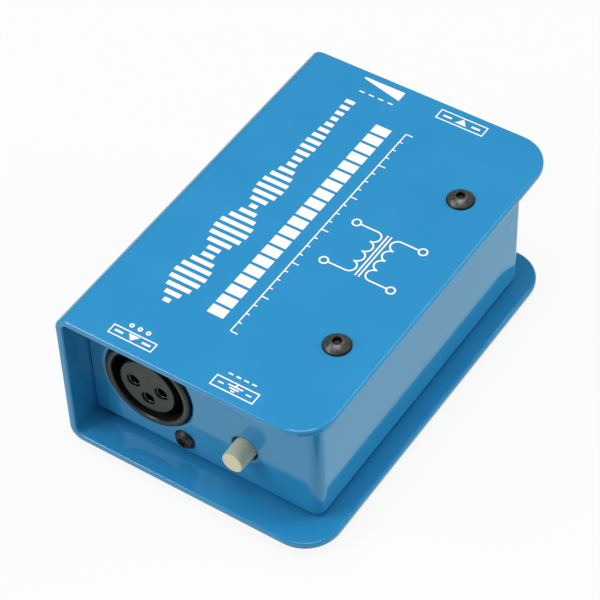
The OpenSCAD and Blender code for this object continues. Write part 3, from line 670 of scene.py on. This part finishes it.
buttonSizes = {"x": 9.7, "z": 18.2, "r": 2.75, "draft": 0.1, "back": -3.4, "backEdge": 0.2, "tip": 6.9,
               "edgeR": 0.45, "edgeSteps": 5, "crown": 0.06, "crownMid": (0.55, 0.3), "boreR": 1.65,
               "boreEnd": 4.4}


def makeButton(c):
    bm = bmesh.new()
    base, edge, back, tip = c["r"] + c["draft"], c["edgeR"], c["back"], c["tip"]
    rings = [(pinR, c["boreEnd"]), (c["boreR"], c["boreEnd"]), (c["boreR"], back),
             (base - c["backEdge"], back), (base, back + c["backEdge"]), (base, 0)]
    tipR = c["r"] - c["draft"] / 2
    for k in range(c["edgeSteps"] + 1):
        a = k * pi / 2 / c["edgeSteps"]
        rings.append((tipR - edge + edge * cos(a), tip - c["crown"] - edge + edge * sin(a)))
    across, fall = c["crownMid"]
    rings += [((tipR - edge) * across, tip - c["crown"] * fall), (pinR, tip)]
    stackRings(bm, 72, rings, frontAt(c["x"], c["z"]))
    finishPiece("liftButton", bm, ivoryPlastic, "button", ["lift_button"], sharp=50)


makeButton(buttonSizes)

# Return spring: a wire coil behind the button

springSizes = {"x": 9.7, "z": 18.2, "r": 2.55, "wireR": 0.25, "wireSides": 12, "turns": 5, "turnSteps": 32,
               "fixed": -20.5, "free": -30.2, "rest": 0.3, "travel": 3.0}


def makeSpring(c):
    bm = bmesh.new()
    start, end, steps = c["fixed"] - c["rest"], c["free"] + c["rest"], c["turns"] * c["turnSteps"]
    bmesh.ops.create_circle(bm, segments=c["wireSides"], radius=c["wireR"],
                            matrix=Matrix.Translation((c["x"] + c["r"], start, c["z"])))
    bmesh.ops.spin(bm, geom=bm.verts[:] + bm.edges[:], cent=(c["x"], 0, c["z"]), axis=(0, 1, 0),
                   dvec=(0, (end - start) / steps, 0), angle=2 * pi * c["turns"], steps=steps)
    bmesh.ops.holes_fill(bm, edges=[e for e in bm.edges if e.is_boundary], sides=0)
    bmesh.ops.recalc_face_normals(bm, faces=bm.faces[:])
    spring = finishPiece("liftSpring", bm, zincPlate, "case", ["switch_spring"], weighted=False)
    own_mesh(spring)


makeSpring(springSizes)

# Level knob: plain skirt, fluted grip, dished cap with a white pointer

knobSizes = {"x": -10.9, "z": 17.5, "r": 7.75, "bottom": 2.6, "top": 11.8, "gripFrom": 5.6, "recessR": 6.27,
             "shaftR": 3.05, "shaftEnd": 10.6, "skirtEdge": 0.25, "skirtLess": 0.06, "gripRise": 0.15,
             "flutes": 20, "fluteR": 0.6, "bevel": 0.7, "bevelMid": 0.3, "dish": 0.14, "dishRim": (0.7, 0.95),
             "sides": 240, "setR": 1.3, "setZ": 8.1, "drillPast": 1, "pointer": (1.0, 1.5, 6.65, 0.5),
             "pointerPlay": 0.02, "pointerEdge": 0.12}


def fluteRadius(c, less):
    axisR = c["r"] + c["fluteR"] / 3
    pitch = 2 * pi / c["flutes"]

    def radius(turn):
        off = (turn % pitch) - pitch / 2
        side = axisR * sin(off)
        cut = axisR * cos(off) - sqrt(c["fluteR"] ** 2 - side ** 2) if abs(side) < c["fluteR"] else c["r"]
        return min(c["r"], cut) - less
    return radius


def drillPiece(piece, drill):
    bmesh.ops.scale(drill, verts=drill.verts[:], vec=(mm, mm, mm))
    mesh = bpy.data.meshes.new("drill")
    drill.to_mesh(mesh)
    drill.free()
    cutter = bpy.data.objects.new("drill", mesh)
    bpy.context.scene.collection.objects.link(cutter)
    cut = piece.modifiers.new("drilled", "BOOLEAN")
    cut.operation = "DIFFERENCE"
    cut.solver = "EXACT"
    cut.object = cutter
    bpy.context.view_layer.update()
    drilled = bpy.data.meshes.new_from_object(piece.evaluated_get(bpy.context.evaluated_depsgraph_get()))
    piece.modifiers.remove(cut)
    piece.data = drilled
    bpy.data.objects.remove(cutter)


def makeKnob(c):
    bm = bmesh.new()
    r, bottom, top, grip, bevel = c["r"], c["bottom"], c["top"], c["gripFrom"], c["bevel"]
    edge, part = c["skirtEdge"], c["bevel"] * c["bevelMid"]
    rimIn, dishIn = c["dishRim"]
    dish = top - c["dish"]
    rings = [(pinR, c["shaftEnd"]), (c["shaftR"], c["shaftEnd"]), (c["shaftR"], grip), (c["recessR"], grip),
             (c["recessR"], bottom), (r - edge, bottom), (r, bottom + edge), (r, grip - edge),
             (r - c["skirtLess"], grip), (fluteRadius(c, 0), grip + c["gripRise"]),
             (fluteRadius(c, 0), top - bevel), (fluteRadius(c, part), top - part),
             (fluteRadius(c, bevel), top), (r - bevel - rimIn, top), (r - bevel - dishIn, dish), (pinR, dish)]
    place = rearAt(c["x"], c["z"])
    stackRings(bm, c["sides"], rings, place)
    knob = finishPiece("levelKnob", bm, knobPlastic, "level", ["level_knob"], weighted=False)
    drill = bmesh.new()  # threaded hole for the set screw, pointing down
    end = r + c["drillPast"]
    down = Matrix.Translation((0, 0, c["setZ"])) @ Matrix.Rotation(pi / 2, 4, "X")
    stackRings(drill, 32, [(pinR, 0), (c["setR"], 0), (c["setR"], end), (pinR, end)], place @ down)
    drillPiece(knob, drill)


def makePointer(c):
    bm = bmesh.new()
    width, start, end, depth = c["pointer"]
    middle = (0, (start + end) / 2, c["top"] - depth / 2 - c["pointerPlay"])
    addBlock(bm, (width - c["pointerPlay"], end - start, depth), middle, c["pointerEdge"], 3)
    bm.transform(rearAt(c["x"], c["z"]))
    finishPiece("knobPointer", bm, whiteInk, "level", ["knob_pointer"])


makeKnob(knobSizes)
makePointer(knobSizes)

# Output jack: threaded bushing, hexagon nut and washer

jackSizes = {"x": 9.4, "z": 17.5, "boreR": 3.25, "threadR": 4.75, "threadFrom": 0.4, "threadStop": 0.2,
             "threadEnd": 5.5, "endEdge": (0.3, 0.35), "mouth": [(0.45, 0), (0.12, 0.2), (0, 0.5)],
             "pitch": 0.8, "threadDeep": 0.32, "threadShape": (0.4, 0.5, 0.9), "flangeR": 6.3, "flangeT": 1.6,
             "nutR": 7.33, "nut": (2.5, 4.9), "nutPlay": 0.04, "crownIn": 0.05, "cone": 28, "nutEdge": 0.06,
             "seatR": 4.8, "seatEdge": 0.35, "washerR": 6.6, "washer": (1.9, 2.5), "washerEdge": (0.18, 0.06)}


def makeJackBushing(c):
    bm = bmesh.new()
    bore, flange, thread, end = c["boreR"], c["flangeR"], c["threadR"], c["threadEnd"]
    root, pitch = c["threadR"] - c["threadDeep"], c["pitch"]
    fall, rise, crest = c["threadShape"]
    rings = [(bore, -c["flangeT"]), (flange, -c["flangeT"]), (flange, 0), (thread, 0)]
    z = c["threadFrom"]
    while z + pitch < end - c["threadStop"]:
        rings += [(thread, z), (root, z + pitch * fall), (root, z + pitch * rise),
                  (thread, z + pitch * crest)]
        z += pitch
    edgeIn, edgeH = c["endEdge"]
    rings += [(thread, end - edgeH), (thread - edgeIn, end)]
    rings += [(bore + out, end - deep) for out, deep in c["mouth"]]
    stackRings(bm, 96, rings, rearAt(c["x"], c["z"]), closed=True)
    finishPiece("jackBushing", bm, nickelPlate, "case", ["jack_bushing"], sharp=28)


def makeJackNut(c):
    bm = bmesh.new()
    low, high = c["nut"]
    seat, edge = c["seatR"], c["seatEdge"]
    crown = c["nutR"] * cos(pi / 6) - c["crownIn"]
    hexSide = hexRadius(c["nutR"] - c["nutPlay"])
    slope = tan(radians(c["cone"]))
    stackRings(bm, 144, [(seat, low), (crown, low), (hexSide, low), (hexSide, high), (crown, high),
                         (seat + edge, high), (seat, high - edge)], closed=True)
    for v in bm.verts:  # the corners fall away under a cone
        past = hypot(v.co.x, v.co.y) - crown
        if past > 0.001:
            v.co.z += (past if near(v.co.z, low) else -past) * slope
    roundEdges(bm, c["nutEdge"], 2, 45)
    bm.transform(rearAt(c["x"], c["z"]))
    finishPiece("jackNut", bm, nickelPlate, "case", ["jack_nut"], sharp=28)


def makeJackWasher(c):
    bm = bmesh.new()
    low, high = c["washer"]
    seat, r = c["seatR"], c["washerR"]
    edge, part = c["washerEdge"]
    rings = [(seat, low), (r, low), (r, high - edge), (r - part, high - part), (r - edge, high), (seat, high)]
    stackRings(bm, 96, rings, rearAt(c["x"], c["z"]), closed=True)
    finishPiece("jackWasher", bm, nickelPlate, "case", ["jack_washer"], sharp=50)


makeJackBushing(jackSizes)
makeJackNut(jackSizes)
makeJackWasher(jackSizes)

# Print on the lid: plain bars, rules and signs in white ink

printSizes = {"top": 43.8, "ink": 0.03, "sunk": 0.02, "line": 0.32, "overlap": 0.006,
              "wave": {"x": -15.6, "from": -35, "step": 2.25, "bar": 1.25, "count": 34, "half": (0.9, 3.6)},
              "meter": {"x": (-6.3, -2.0), "from": -32.5, "step": 3.5, "bar": 2.7, "count": 20},
              "rule": {"x": 1.2, "from": -34.5, "to": 37.5, "step": 3, "count": 25, "long": 2.0,
                       "short": 1.1},
              "coils": {"at": ((-1, 12.6), (1, 18.8)), "from": -4.5, "step": 3.4, "r": 1.7, "count": 4,
                        "leads": (-6.2, 7.4), "leadEnd": 4.6, "ringAt": 5.6, "ringR": 1.0, "line": 1.3},
              "core": {"x": (15.25, 16.15), "y": (-6.4, 7.6), "half": 0.6},
              "dots": {"x": (-17.6, -15.4, -13.2), "y": -44.5, "r": 0.42, "line": 0.4},
              "frames": [(-21.2, -48.8, -9.6, -46.0), (5.9, -49.2, 17.0, -46.0), (4.0, 46.0, 16.7, 49.3)],
              "arrows": [[(-15.4, -48.3), (-13.9, -46.6), (-16.9, -46.6)],
                         [(10.35, 48.8), (8.85, 46.9), (11.85, 46.9)]],
              "wedge": [(-17.1, 49.3), (-17.1, 48.7), (-6.1, 46.2), (-6.1, 49.3)],
              "stems": [(-20.1, -47.7, -17.9, -47.1), (-12.9, -47.7, -10.7, -47.1), (7.2, -47.8, 8.6, -47.4),
                        (14.3, -47.8, 15.7, -47.4), (11.2, -46.9, 11.6, -46.35), (5.4, 47.3, 7.7, 47.9),
                        (13.0, 47.3, 15.3, 47.9)],
              "earth": {"x": 11.4, "y": -47.3, "step": 0.65, "bar": 0.36, "halves": (1.9, 1.2, 0.5)},
              "dashes": [(7.8, -44.7, 1.2, 2.0), (-15.8, 44.2, 1.4, 2.6)], "dashBar": 0.4, "dashCount": 4}


def inkBar(bm, x0, y0, x1, y1):
    middle = Matrix.Translation(((x0 + x1) / 2, (y0 + y1) / 2, 0))
    size = Matrix.Diagonal((abs(x1 - x0), abs(y1 - y0), 1, 1))
    bmesh.ops.create_grid(bm, x_segments=1, y_segments=1, size=0.5, matrix=middle @ size)


def inkFrame(bm, x0, y0, x1, y1, line):
    inkBar(bm, x0, y0, x1, y0 + line)
    inkBar(bm, x0, y1 - line, x1, y1)
    inkBar(bm, x0, y0 + line, x0 + line, y1 - line)
    inkBar(bm, x1 - line, y0 + line, x1, y1 - line)


def inkShape(bm, points):
    bm.faces.new([bm.verts.new((x, y, 0)) for x, y in points])


def inkArc(bm, x, y, r, line, start, sweep, steps, lift=0.0):
    reach = (r - line / 2, r + line / 2)
    ends = [bm.verts.new((x + q * cos(start), y + q * sin(start), lift)) for q in reach]
    edge = bm.edges.new(ends)
    bmesh.ops.spin(bm, geom=[edge, *ends], cent=(x, y, 0), axis=(0, 0, 1), angle=sweep, steps=steps,
                   use_merge=near(sweep, 2 * pi))


def inkWave(bm, c):
    base, swing = c["half"]
    for i in range(c["count"]):
        y = c["from"] + i * c["step"]
        swell = abs(sin(i * 0.42)) * (0.55 + 0.45 * sin(i * 0.13 + 0.4))
        half = base + swing * swell
        inkBar(bm, c["x"] - half, y, c["x"] + half, y + c["bar"])


def inkMeter(bm, c):
    for i in range(c["count"]):
        y = c["from"] + i * c["step"]
        inkBar(bm, c["x"][0], y, c["x"][1], y + c["bar"])


def inkRule(bm, c, line):
    inkBar(bm, c["x"], c["from"], c["x"] + line, c["to"])
    for i in range(c["count"]):
        y = c["from"] + i * c["step"]
        end = c["x"] + (c["long"] if i % 4 == 0 else c["short"])
        inkBar(bm, c["x"] + line, y - line / 2, end, y + line / 2)


def inkTransformer(bm, coils, core, line, overlap):
    wide = line * coils["line"]
    for side, x in coils["at"]:
        for k in range(coils["count"]):
            y = coils["from"] + k * coils["step"]
            inkArc(bm, x, y, coils["r"], wide, side * pi / 2, pi, 12, k % 2 * overlap)
        for y in coils["leads"]:
            inkBar(bm, x, y - wide / 2, x + side * coils["leadEnd"], y + wide / 2)
            inkArc(bm, x + side * coils["ringAt"], y, coils["ringR"], wide, 0, 2 * pi, 20, overlap)
    half = line * core["half"]
    for x in core["x"]:
        inkBar(bm, x - half, core["y"][0], x + half, core["y"][1])


def inkLabels(bm, c):
    # frames with an arrow or an earth sign, a wedge for the level, and dots and dashes beside them
    for frameBox in c["frames"]:
        inkFrame(bm, *frameBox, c["line"])
    for points in c["arrows"] + [c["wedge"]]:
        inkShape(bm, points)
    for stem in c["stems"]:
        inkBar(bm, *stem)
    dots, earth = c["dots"], c["earth"]
    for x in dots["x"]:
        inkArc(bm, x, dots["y"], dots["r"], dots["line"], 0, 2 * pi, 14)
    for k, half in enumerate(earth["halves"]):
        y = earth["y"] - k * earth["step"]
        inkBar(bm, earth["x"] - half, y, earth["x"] + half, y + earth["bar"])
    for x, y, length, step in c["dashes"]:
        for k in range(c["dashCount"]):
            inkBar(bm, x + k * step, y, x + k * step + length, y + c["dashBar"])


def makePrint(c):
    bm = bmesh.new()
    inkWave(bm, c["wave"])
    inkMeter(bm, c["meter"])
    inkRule(bm, c["rule"], c["line"])
    inkTransformer(bm, c["coils"], c["core"], c["line"], c["overlap"])
    inkLabels(bm, c)
    bmesh.ops.recalc_face_normals(bm, faces=bm.faces[:])
    grown = bmesh.ops.extrude_face_region(bm, geom=bm.faces[:])["geom"]
    bmesh.ops.translate(bm, verts=vertsIn(grown), vec=(0, 0, c["ink"] + c["sunk"]))
    bmesh.ops.recalc_face_normals(bm, faces=bm.faces[:])
    bm.transform(Matrix.Translation((0, 0, c["top"] - c["sunk"])))
    finishPiece("lidPrint", bm, whiteInk, "case", weighted=False)


makePrint(printSizes)

# Studio: white floor, soft lamps and the photograph's viewpoint

studio = {"floorR": 4.0, "floorZ": -0.00005, "floorTone": (0.72, 0.72, 0.72, 1), "keep": 0.9,
          # the glossy floor tint and the dark spot after it are a painted reflection, seen only in gloss
          "paintedReflection": (0.9, 1, 0.82, 1), "reflectedShadow": ((0.0662, -0.0707, 0), 0.025, 0.0275), "world": 0.15,
          "lamps": {"keyLamp": (13.4, (0.7, 0.7), (0.05, -0.1, 1.5)),
                    "rearLamp": (7.4, (0.7, 0.7), (0.96, 0.72, 0.5), ("matt",)),
                    "edgeLamp": (3.0, (0.4, 0.4), (-0.024, 0.78, 1.28), ("gloss",)),
                    "frontLamp": (4.6, (0.42, 0.42), (-0.784, -0.663, 0.98)),
                    "rimLamp": (2.95, (0.2, 0.6), (-0.536, -0.89, 0.6)),
                    "sideLamp": (0.4, (0.4, 0.4), (1.0, -0.3, 0.85))},
          "eye": (213.693, -310.299, 433.233), "right": (0.8346, 0.5502, -0.02687),
          "up": (-0.39128, 0.62646, 0.67412), "ahead": (-0.38773, 0.55211, -0.73813), "lens": 145.219}


def mixShaders(tree, share, first, second):
    mix = tree.nodes.new("ShaderNodeMixShader")
    tree.links.new(share, mix.inputs["Fac"])
    tree.links.new(first, mix.inputs[1])
    tree.links.new(second, mix.inputs[2])
    return mix.outputs[0]


def makeFloorFinish(c):
    # a diffuse floor that takes the shadow, under a glow for eye, mirror and glass
    white = bpy.data.materials.new("floorWhite")
    white.use_nodes = True
    tree = white.node_tree
    tree.nodes.clear()
    seen = tree.nodes.new("ShaderNodeLightPath")
    soft = tree.nodes.new("ShaderNodeBsdfDiffuse")
    soft.inputs["Color"].default_value = c["floorTone"]
    glow = tree.nodes.new("ShaderNodeEmission")
    paintedReflection = tree.nodes.new("ShaderNodeEmission")  # a painted reflection: gloss sees the floor tinted green, with one dark spot off the front right corner
    paintedReflection.inputs["Color"].default_value = c["paintedReflection"]
    spot, inner, outer = c["reflectedShadow"]
    apart = tree.nodes.new("ShaderNodeVectorMath")
    apart.operation = "DISTANCE"
    apart.inputs[1].default_value = spot
    tree.links.new(tree.nodes.new("ShaderNodeTexCoord").outputs["Object"], apart.inputs[0])
    fade = tree.nodes.new("ShaderNodeMapRange")
    fade.inputs["From Min"].default_value = inner
    fade.inputs["From Max"].default_value = outer
    tree.links.new(apart.outputs["Value"], fade.inputs["Value"])
    tree.links.new(fade.outputs["Result"], paintedReflection.inputs["Strength"])
    backdrop = mixShaders(tree, seen.outputs["Is Glossy Ray"], glow.outputs[0], paintedReflection.outputs[0])
    total = seen.outputs["Is Camera Ray"]
    for ray in ("Is Glossy Ray", "Is Transmission Ray"):
        add = tree.nodes.new("ShaderNodeMath")
        add.operation = "MAXIMUM"
        tree.links.new(total, add.inputs[0])
        tree.links.new(seen.outputs[ray], add.inputs[1])
        total = add.outputs[0]
    part = tree.nodes.new("ShaderNodeMath")
    part.operation = "MULTIPLY"
    part.inputs[1].default_value = c["keep"]
    tree.links.new(total, part.inputs[0])
    out = tree.nodes.new("ShaderNodeOutputMaterial")
    tree.links.new(mixShaders(tree, part.outputs[0], soft.outputs[0], backdrop), out.inputs["Surface"])
    return white


def makeFloor(c):
    bm = bmesh.new()
    bmesh.ops.create_circle(bm, cap_ends=True, segments=64, radius=c["floorR"],
                            matrix=Matrix.Translation((0, 0, c["floorZ"])))
    mesh = bpy.data.meshes.new("studioFloor")
    bm.to_mesh(mesh)
    bm.free()
    mesh.materials.append(makeFloorFinish(c))
    floor = bpy.data.objects.new("studioFloor", mesh)
    bpy.context.scene.collection.objects.link(floor)


def makeLamp(name, power, size, at, lights=("matt", "gloss")):
    # lights says which kinds of surface the lamp works on
    lamp = bpy.data.lights.new(name, "AREA")
    lamp.energy = power
    lamp.shape = "RECTANGLE"
    lamp.size, lamp.size_y = size
    holder = bpy.data.objects.new(name, lamp)
    holder.location = at
    holder.visible_glossy = "gloss" in lights
    holder.visible_diffuse = "matt" in lights
    holder.rotation_euler = (-Vector(at)).to_track_quat("-Z", "Y").to_euler()
    bpy.context.scene.collection.objects.link(holder)


def makeStudio(c):
    makeFloor(c)
    for name, lamp in c["lamps"].items():
        makeLamp(name, *lamp)
    world = bpy.data.worlds.new("studioAir")
    world.use_nodes = True
    air = world.node_tree.nodes["Background"]
    air.inputs["Color"].default_value = (1, 1, 1, 1)
    air.inputs["Strength"].default_value = c["world"]
    scene = bpy.context.scene
    scene.world = world
    lens = bpy.data.cameras.new("viewpoint")
    lens.lens = c["lens"]
    lens.clip_start = 0.01
    camera = bpy.data.objects.new("viewpoint", lens)
    axes = Matrix((c["right"], c["up"], tuple(-a for a in c["ahead"]))).transposed()
    camera.matrix_world = Matrix.Translation(Vector(c["eye"]) * mm) @ axes.to_4x4()
    scene.collection.objects.link(camera)
    scene.camera = camera
    scene.view_settings.view_transform = "Standard"


makeStudio(studio)
print("studio ready")
